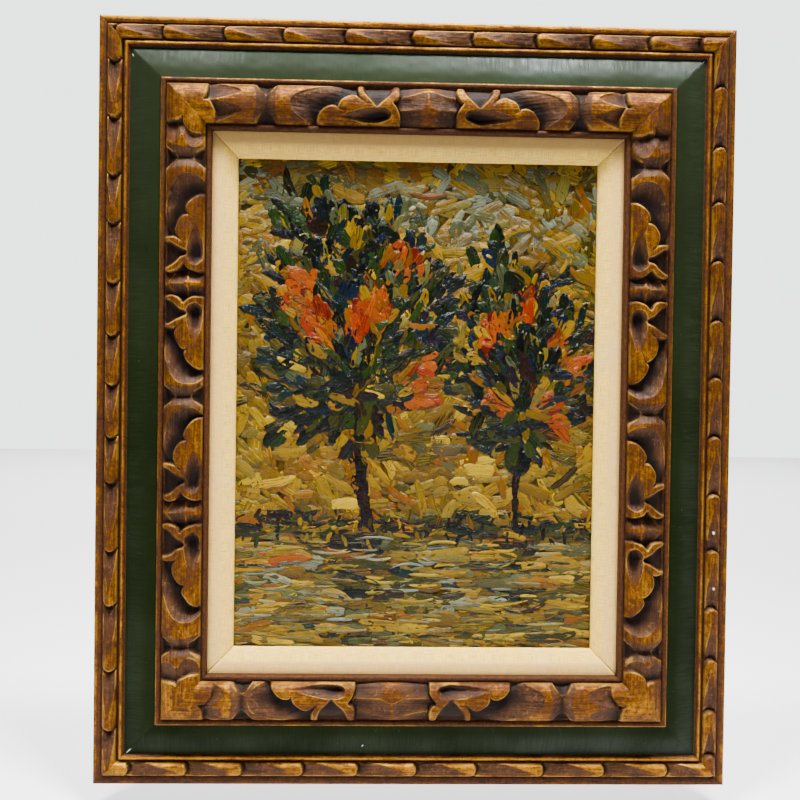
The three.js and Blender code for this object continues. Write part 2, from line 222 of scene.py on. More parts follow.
# Half a cartouche, drawn from the end next to the spool: millimetres along, share of the band
# across. The long one is on the top and bottom, where the spool is low and wide.
LONG_MOTIF = dict(
    arc=[(71, 1.02), (80, .85), (86, .70), (88, .52), (86.5, .38), (82, .25), (75, .14), (66, .07),
         (56, .02), (52, -.04)],
    leaf=[(67.5, 1.02), (67.2, .86), (65.3, .73), (61.5, .61), (57, .545), (53, .55), (50.6, .61)],
    lobe=[(50.6, .61), (50, .50), (48, .40), (44, .31), (40, .265), (36, .285), (32.5, .36),
          (29.5, .44)],
    horn=[(29.5, .44), (32.6, .30), (34.2, .15), (34.6, -.04)],
    vee=[(4, -.04), (6, .16), (10, .32), (15, .47), (19, .57), (23, .46), (27.5, .30), (30.4, .14),
         (31, -.04)],
    eye=[(53, .80), (45, .73), (37, .66), (28, .60), (20, .57), (13, .575), (9, .63), (7, .72),
         (7.6, .81), (11, .89), (18, .94), (28, .93), (40, .87)],
    bracket=[(1.5, -.04), (0, .13), (.4, .27), (2.5, .38), (5.5, .44), (3, .56), (.8, .70),
             (0, .85), (0, 1.04)],
    deepest=17)
SHORT_MOTIF = dict(
    arc=[(67, 1.02), (71, .85), (72.6, .70), (72.2, .52), (70, .36), (66, .24), (60, .14),
         (52, .07), (44, .02), (40, -.04)],
    leaf=[(62.5, 1.02), (62, .86), (59.5, .72), (55.5, .60), (51, .53), (48, .53), (45.7, .59)],
    lobe=[(45.7, .59), (44.5, .46), (41, .36), (36.5, .285), (32, .275), (28, .32), (25, .40),
          (23, .47)],
    horn=[(23, .47), (26.2, .36), (27.8, .20), (27.2, -.04)],
    vee=[(2, -.04), (3, .10), (4.3, .20), (7.5, .32), (10.5, .42), (13, .57), (16.5, .57),
         (19, .42), (22, .27), (24.4, .13), (24.8, -.04)],
    eye=[(41, .78), (34, .69), (27, .62), (20, .58), (13, .56), (9, .60), (6.5, .69), (5.6, .79),
         (7.5, .89), (11, .95), (20, .97), (30, .90)],
    bracket=[(1.3, -.04), (-.4, .15), (.3, .30), (2.5, .40), (6, .48), (3, .57), (1, .70), (0, .85),
             (1, 1.04)],
    deepest=13)


def ease(value, start, end):
    """0 before the start, 1 after the end, and an even curve between them."""
    share = np.clip((value - start) / (end - start), 0, 1)
    return share * share * (3 - 2 * share)


def ripple(x, y, rng, size, turns=7):
    """A soft unevenness of about one unit, in waves of the given size and smaller."""
    total = np.zeros_like(x)
    for _ in range(turns):
        heading = rng.uniform(0, 2 * math.pi)
        pitch = size * rng.uniform(0.45, 1.2)
        total += np.sin((x * math.cos(heading) + y * math.sin(heading)) * 2 * math.pi / pitch
                        + rng.uniform(0, 2 * math.pi))
    return total / math.sqrt(turns)


def rounded(points, steps=6):
    """A smooth line through the given points."""
    p = np.array(points, float)
    p = np.vstack([2 * p[0] - p[1], p, 2 * p[-1] - p[-2]])
    t = np.linspace(0, 1, steps, endpoint=False)[:, None]
    parts = [0.5 * (2 * b + (c - a) * t + (2 * a - 5 * b + 4 * c - d) * t ** 2
                    + (3 * b - a - 3 * c + d) * t ** 3)
             for a, b, c, d in zip(p, p[1:], p[2:], p[3:])]
    return np.vstack(parts + [p[-2]])


def line_distance(x, y, line):
    """Distance from each place to a line of points."""
    best = np.full(x.shape, 1e9)
    for (ax, ay), (bx, by) in zip(line, line[1:]):
        dx, dy = bx - ax, by - ay
        share = np.clip(((x - ax) * dx + (y - ay) * dy) / (dx * dx + dy * dy + 1e-12), 0, 1)
        best = np.minimum(best, np.hypot(x - ax - share * dx, y - ay - share * dy))
    return best


def inside(x, y, outline):
    """True where a place lies within a closed outline."""
    crossings = np.zeros(x.shape, int)
    for (ax, ay), (bx, by) in zip(outline, np.roll(outline, -1, axis=0)):
        if ay == by:
            continue
        meets = (ay > y) != (by > y)
        crossings += meets & (x < (bx - ax) * (y - ay) / (by - ay) + ax)
    return crossings % 2 == 1


def within_by(x, y, outline, line):
    """How far inside an outline each place is, or outside, where it is negative."""
    return np.where(inside(x, y, outline), 1, -1) * line_distance(x, y, line)


class Carving:
    """What is cut into a bead: how deep, where the dark wash stays, where to paint a highlight."""

    def __init__(self, like):
        self.depth, self.washed, self.rubbed = (np.zeros_like(like) for _ in range(3))

    def add(self, where, **least):
        for name, values in least.items():
            now = getattr(self, name)
            setattr(self, name, np.where(where, np.maximum(now, values), now))


# How far a gouge cut goes down, and how far the wood is cut away behind each nose.
GOUGE_DEPTH = 3.6
UNDERCUT_DEPTH, UNDERCUT_LENGTH = 2.6, 2.3


def rope_surface(s, w, side, rng):
    """The half round rope bead with its row of gouge cuts, each stopped at a rounded nose."""
    noses = np.array(side["rope"])
    off = (w - ROPE_START - ROPE_WIDTH / 2) / (ROPE_WIDTH / 2)
    bead = QUIRK + ROPE_RISE * np.sqrt(np.clip(1 - np.abs(off) ** 2.2, 0, 1))
    surface = bead + 0.10 * ripple(s, w * 2, rng, 14)
    carving = Carving(s)
    upright = side["along"][2] != 0
    blunt = 4.2 * np.abs(off) ** 2 if upright else 3.2 * np.abs(off - 0.1) ** 2.4
    ends = np.append(noses, noses[-1] + 46)
    for behind, ahead in zip(ends, ends[1:]):
        here = (s > behind - blunt) & (s <= ahead - blunt)
        tip = ahead - rng.uniform(5, 8) - (4 if upright else 0)
        back = np.clip(tip - s, 0, 60)
        share = back / (tip - behind)
        if upright:
            start = 12.4 - 4.4 * np.clip(back / 26, 0, 1) ** 0.75 + rng.uniform(-0.5, 0.5)
            end = 12.6 + 6.0 * np.clip(back / 30, 0, 1) ** 0.75 + rng.uniform(-0.4, 0.4)
        else:
            start = 8.2 + rng.uniform(-0.5, 0.4) + 2.2 * np.exp(-back / 3)
            end = 11 + 8.2 * np.clip(back / rng.uniform(24, 32), 0, 1) ** 0.8
        t = (w - start) / np.maximum(end - start, 0.1)
        within = here & (t > 0) & (t < 1) & (tip > s)
        dish = np.clip(4 * t * (1 - t), 0, 1) ** 0.7
        dug = (0.35 + GOUGE_DEPTH * share ** 0.9) * dish + 0.10 * ripple(s * 0.4, w * 2.6, rng, 6)
        surface = np.where(within, np.maximum(surface - np.maximum(dug, 0), QUIRK + 0.2), surface)
        deepening = ease(share, -0.1, 0.9 if upright else 0.5)
        carving.add(within, washed=ease(dish, 0.0, 0.5) * deepening)
        edge = ahead - blunt - s
        worn = 0.5 * np.exp(-np.clip(edge, 0, 9) / 0.6)
        surface = np.where(here & (edge < 5), surface - worn, surface)
        under = s - (behind - blunt)
        undercut = UNDERCUT_DEPTH * np.exp(-(np.clip(under, 0, 9) / UNDERCUT_LENGTH) ** 2)
        surface = np.where(here & (under < 8), surface - undercut, surface)
    return bead, np.maximum(surface, QUIRK), carving


def half_cartouche(s, w, carving, notch, spool, side, stretch, arc_stretch, rng):
    """Half a cartouche, from the arc by its notch to its bracket, and half the spool beyond."""
    half = side["half"]
    motif = LONG_MOTIF if half > 15 else SHORT_MOTIF
    facing = 1 if notch > spool else -1
    room = abs(notch - spool) - half
    x = (s - spool) * facing - half
    y = w - BAND_START
    mine = (x > -half) & (x < room + 3)

    def line(name):
        longer = arc_stretch if name == "arc" else stretch
        return rounded([
            (a * longer + rng.uniform(-0.35, 0.35),
             b * BAND_WIDTH + side["lift"] * 4 * max(b * (1 - b), 0) + rng.uniform(-0.3, 0.3))
            for a, b in motif[name]])

    arc, leaf, lobe, horn = line("arc"), line("leaf"), line("lobe"), line("horn")
    lobe[0], horn[0] = leaf[-1], lobe[-1]
    scallops = np.vstack([leaf, lobe, horn])
    hollowed = inside(x, y, np.vstack([arc, scallops[::-1]]))
    to_arc, to_leaf = line_distance(x, y, arc), line_distance(x, y, scallops)
    edge = np.where(hollowed, 1, -1) * np.minimum(to_arc, to_leaf)
    across = to_arc / (to_arc + to_leaf + 1e-6)
    hollow = (0.9 + 6.2 * (1 - (1 - across) ** 1.5)) * ease(edge, -0.2, 0.9)
    hollow += 0.13 * ripple(x * 0.6, y * 1.6, rng, 7) * ease(edge, 0, 1.5)
    carving.add(mine & (edge > -0.2), depth=hollow)
    carving.add(mine, washed=ease(edge, -0.45, 0.35))
    leaf_end, eye_tail = motif["leaf"][-1][0] * stretch, motif["eye"][0][0] * stretch
    crease = rounded([(leaf_end, 19.4), (leaf_end - 6, 21.5), (eye_tail - 6, 23.8)])
    for to_crease, deep, wide in ((to_leaf, 0.8, 0.7), (line_distance(x, y, crease), 0.7, 0.9)):
        carving.add(mine & ~hollowed, depth=deep * np.exp(-to_crease / wide))

    vee = line("vee")
    edge = within_by(x, y, vee, vee)
    carving.add(mine, depth=5.4 * ease(edge, -0.2, 2.2), washed=ease(edge, -0.4, 0.35))

    eye = line("eye")
    edge = within_by(x, y, eye, np.vstack([eye, eye[:1]]))
    fall = np.clip((eye_tail - x) / (eye_tail - motif["deepest"]), 0, 1)
    hollow = 7.0 * np.clip(edge / 4.2, 0, 1) ** 0.75 * (0.12 + 0.88 * fall ** 0.8)
    carving.add(mine & (edge > 0), depth=hollow)
    carving.add(mine, washed=ease(edge, -0.4, 0.4) * ease(fall, 0.1, 0.55))

    # Beyond the bracket there is a deep groove, then the spool with its three rows of scoops.
    bracket = line("bracket")
    beyond = np.vstack([bracket, [(-half - 4, 1.04 * BAND_WIDTH), (-half - 4, -0.04 * BAND_WIDTH)]])
    to_edge = line_distance(x, y, bracket)
    out = np.clip((x + half) / half, 0, 1)
    share = y / BAND_WIDTH
    upper = 0.50 + 0.12 * ease(out, 0, 0.35)
    under = 0.13 + 0.15 * ease(out, 0, 0.9)
    rows = [share > upper, share > under]
    row = np.select(rows, [(share - upper) / (1.02 - upper), (share - under) / (upper - under)],
                    share / under)
    scoop = 1 - (2 * row - 1) ** 2
    begun = np.select(rows, [ease(out, 0.05, 0.6), ease(out, 0.0, 0.12)], ease(out, 0.02, 0.5))
    waist, groove_width = (2.6, 1.9) if motif is LONG_MOTIF else (3.6, 1.5)
    fallen = 1.3 + waist * out ** 1.3 + 1.9 * scoop * begun * (0.55 + 0.45 * out)
    groove = 7.6 * np.exp(-np.maximum(to_edge - 0.6, 0) / groove_width)
    hollow = np.maximum(fallen, groove) * ease(to_edge, -0.2, 0.8)
    hollow += 0.10 * ripple(x * 0.6, y * 1.6, rng, 6)
    washed = 0.5 * ease(scoop * begun, 0.12, 0.4) + 0.5 * ease(groove, 2.0, 4.0)
    # The ridges between the spool's rows and at its middle get painted highlight lines.
    to_ridge = np.minimum(np.abs(share - upper), np.abs(share - under)) * BAND_WIDTH
    to_ridge = np.minimum(to_ridge, np.where(begun > 0.3, np.abs(x + half) + 0.2, 9))
    carving.add(inside(x, y, beyond) & mine, depth=hollow, washed=np.clip(washed * 1.6, 0, 1),
                rubbed=np.exp(-(to_ridge / 0.7) ** 2) * ease(to_edge, 1.5, 4))


def cross_notch(s, w, carving, notch, rng):
    """A waisted V across the band, with a fan cut down to each edge from its middle."""
    x = s - notch
    y = (w - BAND_START) / BAND_WIDTH * 2 - 1 + rng.uniform(-0.05, 0.05)
    wide = 7.4 + 3.6 * np.abs(y) ** 1.8 + 0.4 * rng.uniform(-1, 1)
    wall = 5.4 * (1 - np.abs(x) / wide)
    fan_wide = 10.5 * np.clip(np.abs(y) - 0.22, 0, 1) + 0.01
    fan = 4.2 + 3.6 * np.abs(y) - 2.0 * np.abs(x) / fan_wide
    fan = np.where((np.abs(x) < fan_wide) & (np.abs(y) > 0.22), fan, 0)
    cut = np.maximum(wall, fan)
    carving.add(cut > 0.02, depth=cut, washed=ease(cut, 0.0, 0.35))
    carving.rubbed = np.where(cut > 0.02, 0.3 * carving.rubbed, carving.rubbed)
    # Painted highlight lines where the fans meet the walls.
    carving.add(fan > 0.5, rubbed=0.9 * np.exp(-((wall - fan) / 0.45) ** 2))


def corner_cut(s, w, carving, leaf, length, bulge, blunt, rng):
    """Two scoops that deepen towards a corner leaf and stop at its two lobes."""
    facing = 1 if leaf > 0 else -1
    x = (leaf - s) * facing
    share = (w - BAND_START) / BAND_WIDTH
    y = share * BAND_WIDTH
    rim = rounded([(1.2, -0.05 * BAND_WIDTH), (0, 1.5), (0.2, 8.0), (-0.6, 12.2), (-2.4, 14.4),
                   (1.8, 15.0), (bulge - 2, 19.5), (bulge, 25.0), (bulge - 1, 33.0)])
    on_leaf = inside(x, y, np.vstack([rim, [(-60, 33.5), (-60, -2)]]))
    free = ~on_leaf & (x > -6)
    to_leaf = line_distance(x, y, rim)
    stopped = ease(to_leaf, -0.2, 0.8)
    for start, end, extra in ((-0.04, 0.45, 0), (0.45, 0.98, 1.5 + 2 * blunt)):
        middle_line = (start + end) / 2 + rng.uniform(-0.02, 0.02)
        tip = length + extra + rng.uniform(-0.8, 0.8)
        along = np.clip((tip - x) / tip, 0, 1.6)
        pointed = np.clip(along * 1.15, 0, 1) ** 0.62
        round_ended = np.sqrt(np.clip(1 - np.clip(1 - along / 0.62, 0, 1) ** 2, 0, 1))
        spread = (1 - blunt) * pointed + blunt * round_ended
        half_wide = (end - start) / 2 * spread + 1e-6
        off = np.abs(share - middle_line) / half_wide
        dug = (0.6 + 5.8 * along) * np.clip(1 - off ** 2, 0, 1) ** 0.6 * stopped
        edge = (1 - off) * half_wide * BAND_WIDTH
        carving.add(free & (x < tip) & (off < 1), depth=dug,
                    washed=ease(edge, 0, 0.9) * (0.45 + 0.55 * along))
    trench = 1 + 11 * blunt
    dug = 5.4 * np.clip(1 - x / trench, 0, 1) ** 0.8 * stopped
    carving.add(free & (x < trench) & (share < 0.99), depth=dug, washed=ease(dug, 0.3, 1.6))
    carving.add(on_leaf, depth=0.8 * np.exp(-to_leaf / 0.8))


def band_surface(s, w, side, rng):
    """The half round band, with all that is carved into it."""
    off = (w - BAND_START - BAND_WIDTH / 2) / (BAND_WIDTH / 2)
    bead = BAND_BASE + BAND_RISE * np.sqrt(np.clip(1 - np.abs(off) ** 2.1, 0, 1))
    carving = Carving(s)
    halves = [(notch, spool) for k, spool in enumerate(side["spools"])
              for notch in side["notches"][k:k + 2]]
    for (notch, spool), *stretches in zip(halves, side["stretch"], side["arcs"]):
        half_cartouche(s, w, carving, notch, spool, side, *stretches, rng)
    for notch in side["notches"]:
        cross_notch(s, w, carving, notch, rng)
    for leaf, length, bulge in zip(side["leaves"], side["scoops"], side["lobes"]):
        corner_cut(s, w, carving, leaf, length, bulge, side["blunt"], rng)
    surface = bead + 0.14 * ripple(s, w * 1.6, rng, 18) * ease(1 - np.abs(off), 0, 0.25)
    lowest = BAND_BASE - 0.6 + 1.2 * (1 - np.abs(off))
    return bead, np.minimum(bead + 0.3, np.maximum(surface - carving.depth, lowest)), carving


def between(start, end, step):
    """Evenly spaced values from start to end, ends included, about a step apart."""
    return np.linspace(start, end, max(2, int(round(abs(end - start) / step)) + 1))


def moulding_profile():
    """The rail's outline, once round: each point's zone, place, gilt and painted highlight."""
    p, q, b, e, r = PANEL_START, PANEL_END, BAND_START, BAND_END, RAIL_WIDTH
    back = r - REBATE_DEPTH
    slope = [(p + (q - p) * t, 18.4 + 9.8 * t + 2.6 * t * (1 - t), 0, 0)
             for t in (0, 0.03, *between(0.08, 0.92, 0.056), 0.97)]
    return [(zone, *point) for zone, points in (
        ("back", [(back, 0, 0, 0), (60, 0, 0, 0), (30, 0, 0, 0), (5, 0, 0, 0)]),
        ("gilt", [(2.4, 4.6, .1, 0), (0.2, 9.4, .15, 0), (0, 10.4, .2, 0), (0, 14, .3, 0),
                  (0, 17.6, .6, .2), (0.3, 18.5, .9, .6), (1.0, 19.0, .95, .4), (2.2, 19.2, .9, 0),
                  (3.2, 19.2, .75, 0), (4.2, 19.1, .55, 0), (5.4, 19.0, .4, 0),
                  (6.2, 18.7, .15, 0)]),
        ("rope", [(w, QUIRK, .86, 0)
                  for w in between(ROPE_START, ROPE_START + ROPE_WIDTH, ACROSS_STEP)]),
        ("gilt", [(19.9, QUIRK - 0.1, 0, 0), (20.4, 18.2, 0, 0), (20.6, 20.4, .3, 0),
                  (21.1, 21.2, .65, .2), (21.9, 21.6, .95, .7), (22.9, 21.6, .95, .6),
                  (23.7, 21.2, .6, .1), (24.3, 20.4, .2, 0), (24.7, 18.6, 0, 0)]),
        ("panel", slope),
        ("gilt", [(q + 0.1, 28.2, .4, 0), (q + 0.4, 29.5, .8, .5),
                  (q + 0.9, 30.1, .9, .8), (q + 1.6, 30.3, .55, .15),
                  (q + 3.0, 30.2, .38, 0), (q + 3.9, 29.8, .2, 0),
                  (b - 0.2, 28.9, 0, 0)]),
        ("band", [(w, BAND_BASE, .84, 0) for w in between(b, e, ACROSS_STEP)]),
        ("gilt", [(e + 0.3, 28.7, 0, 0), (e + 0.7, 30.0, .15, 0), (e + 1.3, 30.5, .3, .1),
                  (e + 2.3, 30.7, .32, .1), (e + 3.2, 30.6, .25, 0), (r - 0.6, 30.2, .25, 0),
                  (r - 0.1, 29.4, .2, 0), (r, 28.2, .15, 0), (r, REBATE_FACE, .1, 0)]),
        ("back", [(back, REBATE_FACE, 0, 0), (back, 12, 0, 0)])) for point in points]


def blurred(grid, times):
    """A grid of heights, softened over their near neighbours."""
    for _ in range(times):
        padded = np.pad(grid, 1, mode="edge")
        grid = (padded[:-2, 1:-1] + padded[2:, 1:-1] + padded[1:-1, :-2] + padded[1:-1, 2:]
                + 4 * padded[1:-1, 1:-1]) / 8
    return grid


def smooth_mesh(name, places, corners, starts, sheet):
    """A smooth piece: its points, its faces' corners, where each face starts, and its map."""
    mesh = bpy.data.meshes.new(name)
    for parts, number, field, values in (
            (mesh.vertices, places.size // 3, "co", places.astype(np.float32)),
            (mesh.loops, len(corners), "vertex_index", corners.astype(np.int32)),
            (mesh.polygons, len(starts), "loop_start", starts.astype(np.int32))):
        parts.add(number)
        parts.foreach_set(field, values.ravel())
    mesh.polygons.foreach_set("use_smooth", np.ones(len(starts), bool))
    mesh.update(calc_edges=True)
    mesh.uv_layers.new(name="OFBake").uv.foreach_set("vector", sheet.ravel().astype(np.float32))
    return stand(name, mesh)


def solid_from_rings(name, rings, materials, material_of_column):
    """A closed body from rings of points, its two ends capped, unrolled flat for its maps.

    The map has two halves, one for each half of the length, each a strip that runs once round.
    """
    rows, cols = rings.shape[:2]
    r, c = np.meshgrid(np.arange(rows - 1), np.arange(cols), indexing="ij")
    after = (c + 1) % cols
    quads = np.stack([r * cols + c, r * cols + after,
                      (r + 1) * cols + after, (r + 1) * cols + c], -1)
    ends = np.arange(cols)
    corners = np.concatenate([quads.ravel(), ends[::-1], (rows - 1) * cols + ends])
    starts = np.concatenate([np.arange(quads.size // 4) * 4, [quads.size, quads.size + cols]])

    span = np.linalg.norm(np.diff(rings[rows // 2], axis=0, append=rings[rows // 2][:1]), axis=1)
    round_share = np.concatenate([[0], np.cumsum(span)]) / span.sum()
    half_row = (rows - 1) // 2
    first = r < half_row
    left, right = (np.where(first, row / half_row, (row - half_row) / (rows - 1 - half_row))
                   for row in (r, r + 1))
    shift = np.where(first, 0.0, 0.505)
    near, far = round_share[c] * 0.49 + shift, round_share[c + 1] * 0.49 + shift
    sheet = np.stack([np.stack(pair, -1) for pair in (
        (left, near), (left, far), (right, far), (right, near))], -2)
    turn = np.linspace(0, 2 * math.pi, cols, endpoint=False)
    cap = np.stack([0.5 + 0.005 * np.cos(turn), 0.4975 + 0.005 * np.sin(turn)], -1)
    sheet = np.concatenate([sheet.ravel(), cap.ravel(), cap.ravel()])
    made = smooth_mesh(name, rings, corners, starts, sheet)

    for material in materials:
        made.data.materials.append(material)
    which = np.concatenate([np.tile(material_of_column, rows - 1), [0, 0]])
    made.data.polygons.foreach_set("material_index", which.astype(np.int32))
    return made


def give_values(piece, name, values, kind="FLOAT", field="value"):
    """Keeps a value for each point of a piece, for its material to read."""
    layer = piece.data.attributes.new(name, kind, "POINT")
    layer.data.foreach_set(field, np.ascontiguousarray(values, np.float32).ravel())


class Finish(Nodes):
    """A piece's finish, made up of values kept on its points, noise, colours and relief."""

    def __init__(self, name):
        super().__init__(bpy.data.materials.new(name), "Principled BSDF")

    def value(self, name, kind="Fac"):
        return self.node("Attribute", kind, attribute_name=name)

    def places(self):
        return self.node("TexCoord", "Object")

    def heading(self, axis):
        """How far along one of the room's axes each place lies."""
        return self.node("SeparateXYZ", axis, {0: self.places()})

    def strip(self, per_along, per_across):
        """Places measured along and across a stick, whichever way it lies."""
        return self.node("CombineXYZ", 0, {
            0: self.maths("MULTIPLY", self.value("along"), per_along),
            1: self.maths("MULTIPLY", self.value("across"), per_across)})

    def noise(self, where, scale, detail, roughness, distortion=0.0):
        return self.node("TexNoise", "Fac", dict(
            Vector=where, Scale=scale, Detail=detail, Roughness=roughness, Distortion=distortion))

    def spread(self, value, amount, onto):
        """Adds an unevenness, which lies about a half, to another value."""
        return self.maths("MULTIPLY_ADD", self.maths("SUBTRACT", value, 0.5), amount, onto)

    def ramp(self, factor, start, end, least=0.0, most=1.0):
        return self.node("MapRange", "Result", enumerate((factor, start, end, least, most)),
                         interpolation_type="SMOOTHSTEP")

    def blend(self, factor, a, b):
        return self.node("Mix", 2, {0: factor, 6: a, 7: b}, data_type="RGBA")

    def mix(self, colours, factor, start, end, least=0.0, most=1.0):
        """From the first of two colours toward the second, as a factor goes from start to end."""
        return self.blend(self.ramp(factor, start, end, least, most), *colours)

    def bump(self, height, distance, strength, onto=None):
        inputs = dict(Height=height, Distance=distance, Strength=strength)
        return self.node("Bump", "Normal", inputs if onto is None else {**inputs, "Normal": onto})


# Linear colours. For the gilding: its red-brown ground, the wash left in the cuts, with dust, and
# near black at its deepest, partly painted shade; the gold and bright gold, and paler gold on
# ridges, partly worn bright and partly painted highlight; then flies' specks, scratches and bared
# gesso.
RED_GROUND = (0.026, 0.009, 0.0035), (0.062, 0.021, 0.006)
WASH = (0.018, 0.0075, 0.0034), (0.080, 0.032, 0.011)
WASH_DUSTY, DEEPEST_WASH_AND_SHADE = (0.17, 0.085, 0.042), (0.006, 0.003, 0.0022)
GOLD = (0.062, 0.0168, 0.0010), (0.128, 0.041, 0.0020)
GOLD_BRIGHT, GOLD_RUBBED_AND_HIGHLIGHT = (0.28, 0.118, 0.004), (0.34, 0.18, 0.026)
FLY_SPECK, DEEP_SCRATCH, GESSO = (0.010, 0.006, 0.004), (0.012, 0.007, 0.005), (0.75, 0.68, 0.55)
# For the green slope: its paint, its dry strokes, the painted sheen that pales it toward the top,
# dust, chips and scratches.
GREENS = (0.0050, 0.0080, 0.0022), (0.0074, 0.0118, 0.0036)
GREEN_DRY, GREEN_PAINTED_SHEEN = (0.020, 0.026, 0.014), (0.019, 0.026, 0.013)
DUST, CHIPPED, SCRATCHED = (0.16, 0.15, 0.11), (0.42, 0.42, 0.38), (0.006, 0.005, 0.003)
SATIN_TINT = (0.78, 0.95, 1.0)
BARE_WOOD = (0.15, 0.078, 0.036), (0.28, 0.165, 0.085)


def gilding():
    """Gold worn over a red-brown ground, kept dark and matt where the wood is cut away.

    Ridges get a painted highlight, partly worn gold; the deepest cuts get painted shade.
    """
    m = Finish("worn_gilding")
    cut, rim, gold, deep = m.value("cut"), m.value("rim"), m.value("gold"), m.value("deep")
    even = m.places()
    broad = m.noise(even, 45, 4, 0.65)
    fine = m.noise(even, 330, 4, 0.7)
    specks = m.noise(even, 800, 2, 0.5)
    brush = m.noise(m.strip(45, 700), 1.0, 3, 0.65)
    shown = m.spread(broad, 1.25, m.maths("SUBTRACT", gold, 0.12))
    shown = m.spread(brush, 0.65, m.spread(fine, 0.9, shown))
    shown = m.maths("MULTIPLY_ADD", cut, -0.75, shown)
    # Deep cuts show less gold, partly as painted shade.
    shown = m.maths("MULTIPLY_ADD", deep, -0.5, shown)
    share = m.ramp(shown, 0.15, 1.15)
    ground = m.mix(RED_GROUND, fine, 0.35, 0.7)
    shade = m.maths("MULTIPLY_ADD", broad, 0.5, m.maths("MULTIPLY", brush, 0.5))
    wash = m.mix((m.mix(WASH, shade, 0.36, 0.66), WASH_DUSTY), fine, 0.53, 0.70, 0, 0.5)
    # At the bottom of deep cuts the wash turns near black, partly as painted shade.
    dark = m.blend(cut, ground, m.blend(deep, wash, DEEPEST_WASH_AND_SHADE))
    gilt = m.mix((m.mix(GOLD, brush, 0.35, 0.65), GOLD_BRIGHT), shown, 0.6, 1.2)
    colour = m.blend(share, dark, gilt)
    # Ridges and marked lines turn paler gold: partly worn bright, partly painted highlight.
    edge = m.maths("MULTIPLY", m.ramp(rim, 0.4, 1.0), m.ramp(broad, 0.38, 0.60, 0.0, 0.6))
    colour = m.blend(edge, colour, GOLD_RUBBED_AND_HIGHLIGHT)
    colour = m.mix((colour, FLY_SPECK), specks, 0.63, 0.68, 0, 0.85)
    colour = m.mix((colour, DEEP_SCRATCH), m.value("scratch"), 0.3, 0.7)
    colour = m.mix((colour, GESSO), m.value("chip"), 0.3, 0.7)
    m.set(Base_Color=colour, Metallic=m.maths("MULTIPLY", share, 0.72), Specular_IOR_Level=0.08,
          Roughness=m.ramp(share, 0, 1, 0.55, 0.44),
          Normal=m.bump(brush, 0.0005, 0.7, onto=m.bump(fine, 0.0004, 0.8)))
    return m.owner


def green_paint():
    """Dark olive green satin paint, brushed across the slope, with dust specks and worn spots.

    A painted sheen pales it toward the top.
    """
    m = Finish("green_paint")
    even = m.places()
    strokes = m.noise(m.strip(900, 45), 1.0, 4, 0.75)
    cloud = m.noise(even, 14, 3, 0.5)
    dust = m.noise(even, 900, 1, 0.5)
    colour = m.mix(GREENS, cloud, 0.3, 0.7)
    colour = m.mix((colour, GREEN_DRY), strokes, 0.5, 0.75, 0, 0.4)
    # Painted sheen: paler toward the top.
    colour = m.mix((colour, GREEN_PAINTED_SHEEN), m.heading("Z"), -0.30, 0.02, 0, 0.4)
    colour = m.mix((colour, DUST), dust, 0.78, 0.80, 0, 0.5)
    colour = m.mix((colour, CHIPPED), m.value("chip"), 0.3, 0.7)
    colour = m.mix((colour, SCRATCHED), m.value("scratch"), 0.3, 0.7)
    # The satin shows most along the slope's outer half and toward one end.
    outer = m.ramp(m.value("across"), 0.036, 0.047, 1, 0.2)
    satin = m.maths("MULTIPLY", m.ramp(cloud, 0.36, 0.62, 0.45, 1.0), outer)
    satin = m.maths("MULTIPLY", satin, m.ramp(m.heading("X"), -0.02, 0.14, 0.72, 1.5))
    satin = m.maths("MULTIPLY", satin, m.ramp(strokes, 0.36, 0.62, 0.65, 1.15))
    m.set(Base_Color=colour, Roughness=m.ramp(strokes, 0.32, 0.68, 0.26, 0.60),
          Specular_IOR_Level=m.maths("MULTIPLY", satin, 0.078), Specular_Tint=SATIN_TINT,
          Normal=m.bump(strokes, 0.0002, 0.4))
    return m.owner


def bare_wood():
    """The unpainted back of the sticks, toned brown by age."""
    m = Finish("bare_wood")
    grain = m.noise(m.strip(12, 260), 1.0, 5, 0.65, 0.6)
    m.set(Base_Color=m.mix(BARE_WOOD, grain, 0.3, 0.75), Roughness=0.8,
          Normal=m.bump(grain, 0.0004, 0.5))
    return m.owner


GILT, GREEN, BARE = gilding(), green_paint(), bare_wood()
ZONE_MATERIAL = {"gilt": 0, "rope": 0, "band": 0, "panel": 1, "back": 2}

# Knocks and scratches: kind, millimetres along and across the rail, length, width and slant.
MARKS = {
    "top": (("chip", -219, 44, 3, 1.2, 0.8), ("scratch", 60, 3, 9, 1.0, 0.2)),
    "left": (("scratch", 14, 5, 11, 1.4, 1.4), ("scratch", 17, 13, 8, 1.2, 1.2),
             ("chip", -278, 27, 2.4, 1.6, 0.4), ("chip", 140, 37, 1.6, 1.2, 0.0),
             ("scratch", -120, 41, 12, 0.9, 0.1)),
    "bottom": (("chip", -229, 27.5, 7, 1.3, 0.78), ("chip", -40, 33, 1.8, 1.2, 0.5),
               ("scratch", 150, 3, 12, 1.0, 0.1)),
    "right": (("chip", -101, 13, 3.2, 2.2, 0.6), ("chip", -147, 12, 2.6, 2.0, 0.2),
              ("chip", 205, 34, 1.7, 1.2, 0.2), ("scratch", 90, 4, 10, 1.0, 0.2)),
}


def stick_frame(side_name, side):
    """Half the length of a rail's outer edge in mm, then that edge's middle and the headings."""
    box_low, box_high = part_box("frame_rail_" + side_name)
    along, inward = Vector(side["along"]), Vector(side["inward"])
    spread = box_high - box_low
    edge = (box_low + box_high) / 2 - inward * abs(spread.dot(inward)) / 2
    edge.y = high.y
    return abs(spread.dot(along)) / MM / 2, (np.array(edge), np.array(along), np.array(inward))


